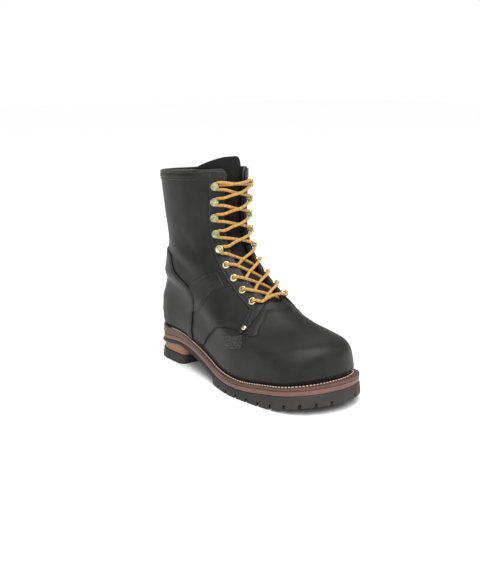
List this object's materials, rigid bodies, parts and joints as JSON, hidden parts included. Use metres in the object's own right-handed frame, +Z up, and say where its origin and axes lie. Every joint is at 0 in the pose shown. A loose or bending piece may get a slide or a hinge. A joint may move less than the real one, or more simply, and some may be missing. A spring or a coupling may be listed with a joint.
{
  "type": "logger boot",
  "caption": "Lace-up leather logger boot for the right foot: tall shaft, raised stacked heel and lugged rubber sole.",
  "frame": {"origin": "on the floor, at the middle of the bounding box's footprint", "axes": "+Z up, toe towards -Y, outer side of the foot towards -X"},
  "size_m": [0.1304, 0.3301, 0.2842],
  "materials": {
    "leather": "semi-matte black full-grain leather",
    "leather_dark": "matte black leather",
    "lining": "matte insole board and lining",
    "welt_brown": "satin dark red-brown leather edge",
    "midsole_brown": "satin brown leather edge",
    "rubber_black": "matte black moulded rubber",
    "lift_tan": "matte tan heel stack",
    "brass": "antique brass",
    "lace_gold": "round golden braided lace",
    "fabric_black": "plain woven tab"
  },
  "bodies": {
    "root": {"collar_band": "leather", "counter": "leather", "eyelet_inner_1": "brass", "eyelet_inner_2": "brass", "eyelet_inner_3": "brass", "eyelet_inner_4": "brass", "eyelet_outer_1": "brass", "eyelet_outer_2": "brass", "eyelet_outer_3": "brass", "eyelet_outer_4": "brass", "eyestay_inner": "leather_dark", "eyestay_outer": "leather_dark", "heel_lift": "lift_tan", "heel_top_piece": "rubber_black", "hook_inner_5": "brass", "hook_inner_6": "brass", "hook_inner_7": "brass", "hook_inner_8": "brass", "hook_inner_9": "brass", "hook_outer_5": "brass", "hook_outer_6": "brass", "hook_outer_7": "brass", "hook_outer_8": "brass", "hook_outer_9": "brass", "insole": "lining", "lace_bar_bottom": "lace_gold", "lace_bar_top": "lace_gold", "lace_crossing_1": "lace_gold", "lace_crossing_2": "lace_gold", "lace_crossing_3": "lace_gold", "lace_crossing_4": "lace_gold", "lace_crossing_5": "lace_gold", "lace_crossing_6": "lace_gold", "lace_crossing_7": "lace_gold", "lace_crossing_8": "lace_gold", "midsole": "midsole_brown", "outsole": "rubber_black", "rivet_inner": "brass", "rivet_outer": "brass", "side_tag": "fabric_black", "tongue": "leather_dark", "upper": "leather", "welt": "welt_brown"}
  },
  "joints": []
}
